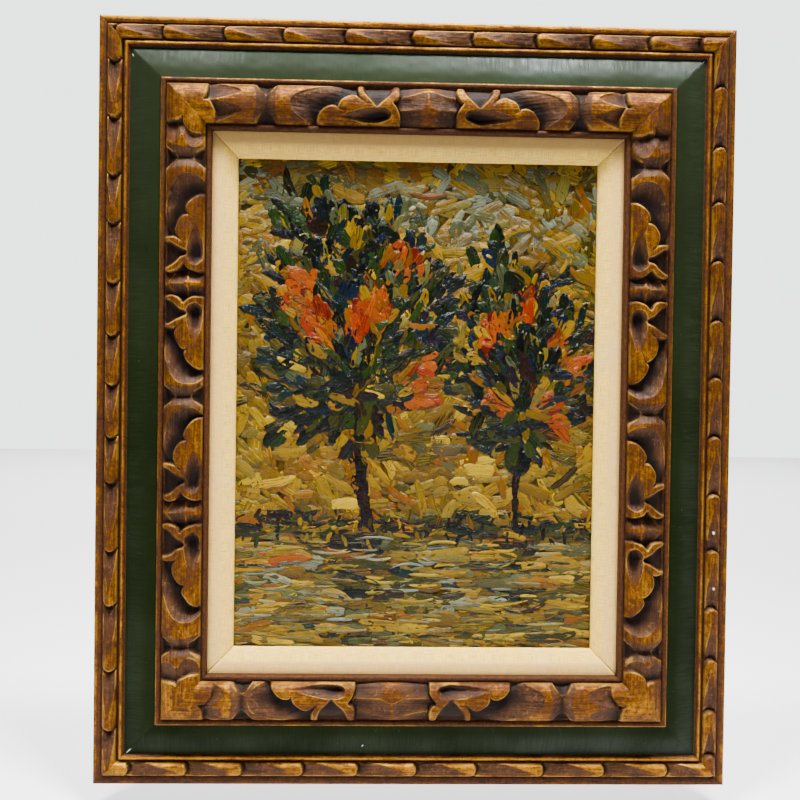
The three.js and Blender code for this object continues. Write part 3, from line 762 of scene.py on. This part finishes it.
def rows_of_profile(half, step, profile):
    """A stick from mitre to mitre: how far along each point is, then each column of its profile."""
    columns = np.array(profile, float).T
    rows = int(2 * half / step)
    s = np.linspace(-1, 1, rows)[:, None] * (half - columns[0] + MITRE_OVERLAP)[None, :]
    return [s, *(np.repeat(column[None, :], rows, 0) for column in columns)]


def in_the_room(s, w, h, edge, along, inward):
    """Where points along, across and up from the back of a stick are in the room."""
    outward = np.array((0, -1, 0))
    return edge + MM * (s[..., None] * along + w[..., None] * inward + h[..., None] * outward)


def frame_rail(name, side, rng):
    """One carved and gilded stick, with the values that its finish reads."""
    half, axes = stick_frame(name, side)
    zones, *profile = zip(*moulding_profile())
    s, w, h, gold, rim = rows_of_profile(half, ALONG_STEP, list(zip(*profile)))
    # Painted light and shade: more or less gold on each side's lip and bead.
    painted_light_gold = np.select([w < ROPE_START, w < PANEL_START], [side["lip"], side["bead"]], 0)
    gold += np.where(gold > 0, painted_light_gold, 0)
    cut, deep = np.zeros_like(h), np.zeros_like(h)
    for zone, shape in (("rope", rope_surface), ("band", band_surface)):
        cols = [i for i, z in enumerate(zones) if z == zone]
        bead, surface, carving = shape(s[:, cols], w[:, cols], side, rng)
        surface = blurred(surface, 1)
        surface[:, [0, -1]] = np.minimum(bead[:, [0, -1]], surface[:, [0, -1]])
        h[:, cols] = surface
        cut[:, cols] = blurred(carving.washed, 1)
        # How deep each place is cut; the finish turns the wash there near black, partly painted
        # shade.
        deep[:, cols] = ease(bead - surface, 2.0, 6.5)
        ridge = surface - blurred(surface, 3)
        # Ridges get a painted highlight, partly worn gold.
        rim[:, cols] = np.maximum(np.clip(ridge / 0.22, 0, 1), 0.85 * carving.rubbed)
        # Hollow creases lose gold: partly wash, partly painted shade.
        gold[:, cols] -= 0.7 * np.clip(-ridge / 0.3, 0, 1)
    h = np.where((h > 15) & (w < RAIL_WIDTH - 1), h + 0.06 * ripple(s, w * 3, rng, 30), h)
    h = np.minimum(h, BAND_CREST - 0.02)

    rail = solid_from_rings("carved_rail_" + name, in_the_room(s, w, h, *axes), (GILT, GREEN, BARE),
                            np.array([ZONE_MATERIAL[z] for z in zones]))
    marks = {"chip": np.zeros_like(h), "scratch": np.zeros_like(h)}
    for kind, at_s, at_w, long, wide, slant in MARKS[name]:
        ds, dw = s - at_s, w - at_w
        across = (-ds * math.sin(slant) + dw * math.cos(slant)) / (wide / 2)
        down = (ds * math.cos(slant) + dw * math.sin(slant)) / (long / 2)
        shape = 1.35 - np.sqrt(across ** 2 + down ** 2) + 0.12 * ripple(s, w, rng, 3)
        marks[kind] = np.maximum(marks[kind], shape)
    for label, values in dict(cut=cut, rim=rim, gold=gold, deep=deep, along=s * MM, across=w * MM,
                              **marks).items():
        give_values(rail, label, values)
    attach(rail, "root")
    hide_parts("frame_rail_" + name)


for number, (name, side) in enumerate(SIDES.items()):
    frame_rail(name, side, np.random.default_rng(40 + number))


# ---------------------------------------------------------------- linen liner
# Four mitred strips of wood wrapped in cream linen sit inside the frame and slope down to the
# painting. The weave is plain, with thick and thin threads. Painted shade darkens the flat and the
# cloth next to the frame, and a painted shadow lies along the top strip.

LINER_SIGHT = 112.0
LINER_OUTER = RAIL_WIDTH - REBATE_DEPTH + 0.3
BOARD_COVERED = 6.6
LINER_HIDDEN = LINER_SIGHT - BOARD_COVERED
LINER_STEP = 4
# Linear colours: threads, blotches, then painted shade on the flat, along the top and by the frame.
THREADS = (0.47, 0.28, 0.045), (0.88, 0.57, 0.088)
BLOTCH, FLAT_CLOTH_PAINTED_SHADE = (0.50, 0.39, 0.22), (0.58, 0.34, 0.135)
TOP_PAINTED_SHADOW, PAINTED_SHADE_AT_FRAME = (0.17, 0.095, 0.040), (0.24, 0.15, 0.08)


def linen():
    """Plain woven cream linen.

    Painted shade darkens its flat and the cloth by the frame; a painted shadow lies along the top.
    """
    m = Finish("cream_linen")
    warp = m.noise(m.strip(110, 2300), 1.0, 3, 0.6)
    weft = m.noise(m.strip(2300, 110), 1.0, 3, 0.6)
    cloth = m.maths("MULTIPLY_ADD", warp, 0.5, m.maths("MULTIPLY", weft, 0.5))
    blot = m.noise(m.places(), 30, 3, 0.5)
    across = m.value("across")
    colour = m.mix(THREADS, cloth, 0.34, 0.62)
    colour = m.mix((colour, BLOTCH), blot, 0.45, 0.75, 0, 0.25)
    # Painted shade on the flat beside the frame.
    colour = m.mix((colour, FLAT_CLOTH_PAINTED_SHADE), across, 0.1015, 0.1035, 0.45, 0.0)
    # Painted shadow along the top strip, under the frame.
    colour = m.mix((colour, TOP_PAINTED_SHADOW), m.heading("Z"), -0.0775, -0.0690, 0, 0.5)
    # Painted shade where the cloth meets the frame.
    colour = m.mix((colour, PAINTED_SHADE_AT_FRAME), across, 0.0922, 0.0950, 0.5, 0.0)
    m.set(Base_Color=colour, Roughness=0.92, Specular_IOR_Level=0.2,
          Normal=m.bump(cloth, 0.0005, 0.7))
    return m.owner


def liner_rail(name, side, rng):
    """One strip of the liner: bare wood behind, linen over its flat and its bevel."""
    half, axes = stick_frame(name, side)
    o, t, k = LINER_OUTER, LINER_SIGHT, LINER_HIDDEN
    bare = [(o, 7), (k - 10, 7), (k, 7), (k, 14.5)]
    covered = [(t, 14.5), (t, 15.8), (t - 0.3, 16.9), (t - 0.9, 17.8), (t - 1.8, 18.5), (t - 4, 20),
               (t - 7, 21.5), (t - 9.6, 22.9), (t - 10.6, 23.4), (t - 12, 23.6), (t - 15, 23.7),
               (t - 18, 23.7), (t - 21, 23.7), (o, 23.7), (o, 15)]
    s, w, h = rows_of_profile(half, LINER_STEP, bare + covered)
    h = np.where(h > 15, h - 0.06 + 0.05 * ripple(s, w * 2, rng, 40), h)
    liner = solid_from_rings("linen_strip_" + name, in_the_room(s, w, h, *axes), (LINEN, BARE),
                             np.array([1] * len(bare) + [0] * len(covered)))
    give_values(liner, "along", s * MM)
    give_values(liner, "across", w * MM)
    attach(liner, "root")
    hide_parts("liner_rail_" + name)


LINEN = linen()
for number, (name, side) in enumerate(SIDES.items()):
    liner_rail(name, side, np.random.default_rng(60 + number))


# ---------------------------------------------------------------- painting
# A thin hardboard, painted in oils laid on stiff with a palette knife: a golden evening sky, two
# trees in leaf, and the bank and still water below them. Each stroke is its own smear of paint
# with raised edges; together they stand up to a millimetre and a half off the board.

BOARD_BACK, BOARD_FACE = 11.0, 14.2
PAINT_CAP = 1.45
HEIGHT_CELL = 1.5
# The linear colours of the paints, then how much of each goes into the mixtures.
PAINTS = {
    "ochre": (0.07, 0.036, 0.0003), "gold": (0.135, 0.076, 0.0004), "amber": (0.095, 0.03, 0.0003),
    "lemon": (0.23, 0.15, 0.0015), "straw": (0.085, 0.064, 0.006), "sage": (0.036, 0.042, 0.016),
    "pearl": (0.10, 0.11, 0.070), "olive": (0.020, 0.018, 0.0006), "leaf": (0.006, 0.016, 0.0008),
    "fir": (0.001, 0.003, 0.0009), "night": (0.0006, 0.0008, 0.0011),
    "blue": (0.0007, 0.0045, 0.014), "teal": (0.001, 0.0075, 0.0066),
    "orange": (0.16, 0.03, 0.0003), "coral": (0.145, 0.012, 0.0004),
    "red": (0.05, 0.002, 0.0006), "umber": (0.008, 0.0028, 0.0006), "plum": (0.006, 0.0012, 0.002),
}
SKY = dict(ochre=32, gold=24, amber=14, lemon=5, straw=6, olive=14, sage=3, umber=5)
CLOUD = dict(pearl=26, sage=30, straw=18, ochre=12, gold=8, olive=6)
GLOW = dict(gold=40, ochre=22, lemon=9, amber=20, orange=4, straw=3)
WATER = dict(ochre=22, sage=24, straw=12, olive=20, gold=8, pearl=6, umber=5, teal=3)
REFLECTION = dict(olive=26, fir=24, umber=16, night=10, ochre=12, teal=8, amber=4)
BANK = dict(fir=30, night=18, olive=20, umber=18, leaf=8, amber=6)
TRUNK = dict(night=34, umber=34, plum=16, fir=10, ochre=6)
LEAVES = dict(fir=32, night=22, leaf=15, olive=12, blue=7, teal=6, umber=5, plum=3)
LIT_LEAVES = {**LEAVES, "sage": 16, "leaf": 30, "straw": 8}
BLOSSOM = dict(orange=36, coral=22, red=20, amber=10, gold=8, plum=4)
REEDS = dict(leaf=3, ochre=3, gold=2, straw=1)
GLINTS = dict(lemon=2, pearl=2, straw=3, gold=2, teal=2)
PAINTED_ACROSS = (-147, 148)
# Trunks and branches, in mm from the board's middle: where each one's foot and head are across,
# and low and high end, then how many strokes it has and how wide they are.
LIMBS = ((-38, -54, -98, 10, 46, 6.5), (-44, -84, -40, 28, 18, 4.5), (-46, -14, -34, 34, 18, 4.5),
         (82, 88, -96, 2, 30, 5.0), (84, 108, -40, 12, 10, 3.6))
# Each tree's crown: its middle, and half its width and height.
CROWNS = ((-46, 66, 96, 104), (88, 36, 58, 88))
CROWN_DENSITY, BLOSSOM_CLUSTERS, CLUSTER_REACH = 0.085, 9, 0.14

rng = np.random.default_rng(7)
pick = rng.uniform
strokes = []


def lay(x, z, length, width, angle, thick, mixture, leafy=0.0):
    """Adds a stroke of the knife, its two colours picked from a mixture of paints."""
    names = list(mixture)
    odds = np.array([mixture[name] for name in names], float)
    first, second = rng.choice(len(names), 2, p=odds / odds.sum())
    tone = pick(0.8, 1.2)
    paint, under = (np.append(np.array(PAINTS[names[k]]) * tone, 1) for k in (first, second))
    strokes.append(dict(x=x, z=z, length=length, width=width, angle=angle, thick=thick,
                        leafy=leafy, paint=paint, under=under))


def scattered(left, right, bottom, top, wide, high):
    """Places all over an area, about evenly, in no order."""
    x, z = np.meshgrid(np.arange(left, right, wide), np.arange(bottom, top, high))
    places = np.stack([x.ravel(), z.ravel()], -1).astype(float)
    places += pick(-0.6, 0.6, places.shape) * (wide, high)
    return rng.permutation(places)


def patch(x, z, middle_x, middle_z, wide, tall):
    """1 at the middle of a soft round patch of the picture, falling to 0 all round it."""
    return math.exp(-((x - middle_x) / wide) ** 2 - ((z - middle_z) / tall) ** 2)


# The first coat: the sky with its clouds and glow, the water with its reflections, the far bank.
for x, z in scattered(*PAINTED_ACROSS, -96, 200, 10, 6.0):
    swirl = 0.35 * math.sin(x / 37 + 1) + 0.5 * math.sin(z / 46 + x / 90)
    glow = max(patch(x, z, -100, -45, 70, 55), patch(x, z, -130, 150, 50, 30))
    cloud = patch(x, z, 70, 158, 78, 34) + 0.9 * patch(x, z, -105, 176, 40, 20)
    mixture = CLOUD if rng.random() < cloud else GLOW if rng.random() < glow else SKY
    lay(x, z, pick(11, 34), pick(5, 13), swirl + rng.normal(0, 0.6), pick(0.4, 0.8), mixture)
for x, z in scattered(*PAINTED_ACROSS, -200, -98, 11, 5.0):
    shade = max(math.exp(-((x + 42) / 20) ** 2), 0.9 * math.exp(-((x - 84) / 14) ** 2))
    shade *= 0.8 if z > -168 else 0.32
    glow = 0.275 * (1 + math.sin(x / 31 + z / 9) * math.sin(z / 17 + 2))
    mixture = REFLECTION if rng.random() < shade else GLOW if rng.random() < glow else WATER
    lay(x, z, pick(14, 46), pick(3.5, 10), rng.normal(0, 0.13), pick(0.2, 0.5), mixture)
for x, z in scattered(*PAINTED_ACROSS, -106, -92, 9, 4.5):
    lay(x, z + 3 * math.sin(x / 24), pick(12, 28), pick(3.5, 6.5), rng.normal(0, 0.15),
        pick(0.2, 0.4), BANK if rng.random() < 0.75 else SKY)
UNDER_STROKES = len(strokes)

# The second coat: trunks and branches, the two crowns, reeds along the bank, glints on the water.
for foot, head, low_end, high_end, count, wide in LIMBS:
    for share in rng.permutation(np.linspace(0, 1, count)):
        lay(foot + (head - foot) * share + rng.normal(0, wide / 3),
            low_end + (high_end - low_end) * share, pick(10, 22), pick(3, wide),
            math.atan2(high_end - low_end, head - foot) + rng.normal(0, 0.12),
            pick(0.3, 0.5), TRUNK)
for middle_x, middle_z, half_wide, half_tall in CROWNS:
    blossoms = [(pick(-0.75, 0.75), pick(-0.6, 0.75)) for _ in range(BLOSSOM_CLUSTERS)]
    count = int(half_wide * half_tall * CROWN_DENSITY)
    for k in range(count):
        out = math.sqrt((count - k) / count) * pick(0.85, 1.08)
        turn = pick(0, 2 * math.pi)
        reach = 1 + 0.13 * math.sin(3 * turn + half_wide) + 0.09 * math.sin(7 * turn)
        if out > 0.84 and rng.random() < 0.45:
            continue
        x, z = out * reach * math.cos(turn), out * reach * math.sin(turn)
        near = min(math.hypot(x - bx, z - bz) for bx, bz in blossoms)
        lit = rng.random() < 0.25 + 0.3 * z - 0.2 * x
        mixture = BLOSSOM if near < CLUSTER_REACH else LIT_LEAVES if lit else LEAVES
        if rng.random() < 0.08 + 0.1 * out:
            mixture = SKY
        lean = math.atan2(z + 0.55, x) + rng.normal(0, 0.42)
        lay(middle_x + x * half_wide, middle_z + z * half_tall, pick(11, 29),
            pick(5, 11), lean, pick(0.45, 0.9), mixture, 1.0)
for x, z in scattered(*PAINTED_ACROSS, -110, -86, 13, 9):
    lay(x, z, pick(6, 12), pick(2.2, 4), pick(1.0, 2.1), pick(0.2, 0.4),
        BANK if rng.random() < 0.6 else REEDS, 1.0)
for x, z in scattered(-140, 145, -195, -112, 24, 9):
    lay(x, z, pick(14, 34), pick(1.8, 3.4), rng.normal(0, 0.06), pick(0.2, 0.4), GLINTS, 1.0)


# Linear colours: the dirt in the paint's furrows, the painted shade round its strokes, the board
# and its ground.
FURROW, OUTLINE_PAINTED_SHADE = (0.004, 0.0035, 0.001), (0.0035, 0.0025, 0.0010)
BOARD_BROWN = (0.075, 0.034, 0.013), (0.13, 0.062, 0.026)
PRIMER = (0.009, 0.006, 0.001), (0.045, 0.024, 0.001)


def oil_paint():
    """Glossy oil colour, dragged in streaks of two paints, with ridges thrown up by the knife."""
    m = Finish("oil_paint")
    smear = m.value("smear", "Vector")
    streaks = m.noise(smear, 1.0, 4, 0.65)
    chatter = m.noise(smear, 2.3, 2, 0.5, 0.6)
    creases = m.noise(m.places(), 170, 3, 0.6, 1.2)
    from_crest = m.maths("ABSOLUTE", m.maths("MULTIPLY_ADD", creases, 8.0, -4.0))
    crest = m.maths("SUBTRACT", 1.0, from_crest, clamp=True)
    paints = m.value("paint", "Color"), m.value("under", "Color")
    colour = m.mix(paints, streaks, 0.44, 0.62, 0, 0.85)
    colour = m.mix((colour, m.blend(0.75, colour, FURROW)), chatter, 0.55, 0.75, 0, 0.6)
    # Painted shade round each stroke's rim, where it dips under its neighbours.
    colour = m.mix((colour, OUTLINE_PAINTED_SHADE), m.value("edge"), 0.35, 0.9, 0, 0.85)
    m.set(Base_Color=colour, Specular_IOR_Level=0.15,
          Roughness=m.ramp(streaks, 0.3, 0.7, 0.14, 0.28),
          Normal=m.bump(streaks, 0.0009, 0.7, onto=m.bump(crest, 0.0004, 0.45)))
    return m.owner


def hardboard():
    """The board's bare brown back and edges."""
    m = Finish("brown_board")
    fibres = m.noise(m.places(), 350, 4, 0.65)
    m.set(Base_Color=m.mix(BOARD_BROWN, fibres, 0.3, 0.7), Roughness=0.85,
          Normal=m.bump(fibres, 0.0003, 0.5))
    return m.owner


def dried_ground():
    """The dark toned ground that shows between the strokes."""
    m = Finish("dried_ground")
    patches = m.noise(m.places(), 160, 4, 0.6)
    m.set(Base_Color=m.mix(PRIMER, patches, 0.35, 0.65), Roughness=0.5,
          Specular_IOR_Level=0.04, Normal=m.bump(patches, 0.0006, 0.8))
    return m.owner


OIL, BOARD, GROUND = oil_paint(), hardboard(), dried_ground()
board_low, board_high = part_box("painting")
board_middle = (board_low + board_high) / 2
board_wide = (board_high.x - board_low.x) / MM / 2
board_tall = (board_high.z - board_low.z) / MM / 2
sight_x, sight_z = board_wide - BOARD_COVERED, board_tall - BOARD_COVERED

corners = [(x, y, z) for x in (-1, 1) for y in (BOARD_BACK, BOARD_FACE - 0.05) for z in (-1, 1)]
board_mesh = bpy.data.meshes.new("painted_board")
board_mesh.from_pydata(
    [(board_middle.x + x * board_wide * MM, high.y - y * MM, board_middle.z + z * board_tall * MM)
     for x, y, z in corners], [],
    [(0, 4, 5, 1), (2, 3, 7, 6), (0, 2, 6, 4), (1, 5, 7, 3), (0, 1, 3, 2), (4, 6, 7, 5)])
board_mesh.materials.append(BOARD)
board_mesh.materials.append(GROUND)
board_mesh.polygons[1].material_index = 1
board = stand("painted_board", board_mesh)

# The points of a stroke, from end to end and from edge to edge, as shares of half its size.
LENGTHWISE = np.array([-1, -.84, -.55, -.25, 0, .3, .6, .88, 1])
WIDTHWISE = np.array([-1, -.78, 0, .78, 1])
LONG, WIDE = len(LENGTHWISE), len(WIDTHWISE)
u, v = np.meshgrid(LENGTHWISE, WIDTHWISE, indexing="ij")
STROKE_RIM = (np.abs(u) == 1) | (np.abs(v) == 1)
heights = np.zeros((int(2 * board_wide / HEIGHT_CELL) + 2, int(2 * board_tall / HEIGHT_CELL) + 2))


def cells(x, z):
    """The cells of the grid of paint heights that places lie in."""
    return (((x + board_wide) / HEIGHT_CELL).astype(int),
            ((z + board_tall) / HEIGHT_CELL).astype(int))


def smeared(stroke):
    """A stroke's points in mm, with how far they stand off the board, and its streaks' places."""
    spread = (1 - np.abs(u) ** (5 - 2.4 * stroke["leafy"])) ** 0.5
    spread = np.clip(spread * (1 + pick(-0.14, 0.14, (LONG, 1))), 0.16, 1.2)
    down = stroke["length"] / 2 * (u + pick(-0.08, 0.08, (1, WIDE)))
    bent = rng.normal(0, 0.08) * stroke["length"] * (u ** 2 - 0.5)
    over = stroke["width"] / 2 * (v * spread) + bent
    c, n = math.cos(stroke["angle"]), math.sin(stroke["angle"])
    x = np.clip(stroke["x"] + down * c - over * n, -sight_x - 4, sight_x + 4)
    z = np.clip(stroke["z"] + down * n + over * c, -sight_z - 4, sight_z + 4)

    # It lies partly on the paint below, with a rim on each side and a lip where the knife left.
    ground = heights[cells(x, z)]
    base = 0.4 * ground + 0.6 * max(ground[1:-1, 1:-1].mean(), np.percentile(ground, 70) - 0.1)
    side_rims = np.where(np.abs(v) > 0.5, pick(0.2, 1.0, (1, WIDE)), 0.0)
    lip = 0.6 * np.exp(-((u - 0.86) / 0.16) ** 2)
    unevenness = pick(-0.08, 0.08, (LONG, WIDE))
    top = stroke["thick"] * (0.42 + 0.28 * u + side_rims + lip + unevenness)
    h = np.where(STROKE_RIM, ground - 0.1, base + np.maximum(top, 0.06))
    np.maximum.at(heights, cells(x[1:-1, 1:-1], z[1:-1, 1:-1]), h[1:-1, 1:-1])
    for du, dv in ((0.5, 0), (0, 0.5), (0.5, 0.5)):
        part_way = [g[1:-2, 1:-2] + du * (g[2:-1, 1:-2] - g[1:-2, 1:-2])
                    + dv * (g[1:-2, 2:-1] - g[1:-2, 1:-2]) for g in (x, z)]
        np.maximum.at(heights, cells(*part_way), h[1:-2, 1:-2])
    shown = PAINT_CAP * (1 - np.exp(-h / PAINT_CAP))
    under_liner = (np.abs(x) > sight_x - 0.4) | (np.abs(z) > sight_z - 0.4)
    shown = np.where(under_liner, np.minimum(shown, 0.2), shown)
    start = pick(0, 500, 2)
    streaks = np.stack([down * 0.05 + start[0], over * 0.9 + start[1], 0 * down], -1)
    return np.stack([x, shown, z], -1), streaks


places, smears = (np.array(part) for part in zip(*(smeared(stroke) for stroke in strokes)))


def coat_of_paint(name, which):
    """The strokes of one coat in a single piece, each with its two colours and its streaks."""
    points = places[which]
    count = len(points)
    position = np.stack([board_middle.x + points[..., 0] * MM,
                         high.y - (BOARD_FACE + points[..., 1]) * MM,
                         board_middle.z + points[..., 2] * MM], -1)
    first = np.arange(LONG * WIDE).reshape(LONG, WIDE)[:-1, :-1].ravel()
    quad = np.stack([first, first + WIDE, first + WIDE + 1, first + 1], -1)
    corners = (np.arange(count)[:, None, None] * LONG * WIDE + quad[None]).ravel()
    flat = points.reshape(-1, 3)
    sheet = np.stack([flat[:, 0] / board_wide, flat[:, 2] / board_tall], -1) * 0.49 + 0.5
    coat = smooth_mesh(name, position, corners, np.arange(len(corners) // 4) * 4, sheet[corners])
    for label in ("paint", "under"):
        colours = np.array([stroke[label] for stroke in strokes[which]]).repeat(LONG * WIDE, axis=0)
        give_values(coat, label, colours, "FLOAT_COLOR", "color")
    # The strokes' rims, where the painted shade goes.
    give_values(coat, "edge", np.tile(STROKE_RIM.ravel(), count))
    give_values(coat, "smear", smears[which], "FLOAT_VECTOR", "vector")
    coat.data.materials.append(OIL)
    return coat


painting = (board, coat_of_paint("paint_under", slice(0, UNDER_STROKES)),
            coat_of_paint("paint_over", slice(UNDER_STROKES, None)))
for piece in painting:
    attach(piece, "root")
    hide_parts("painting")
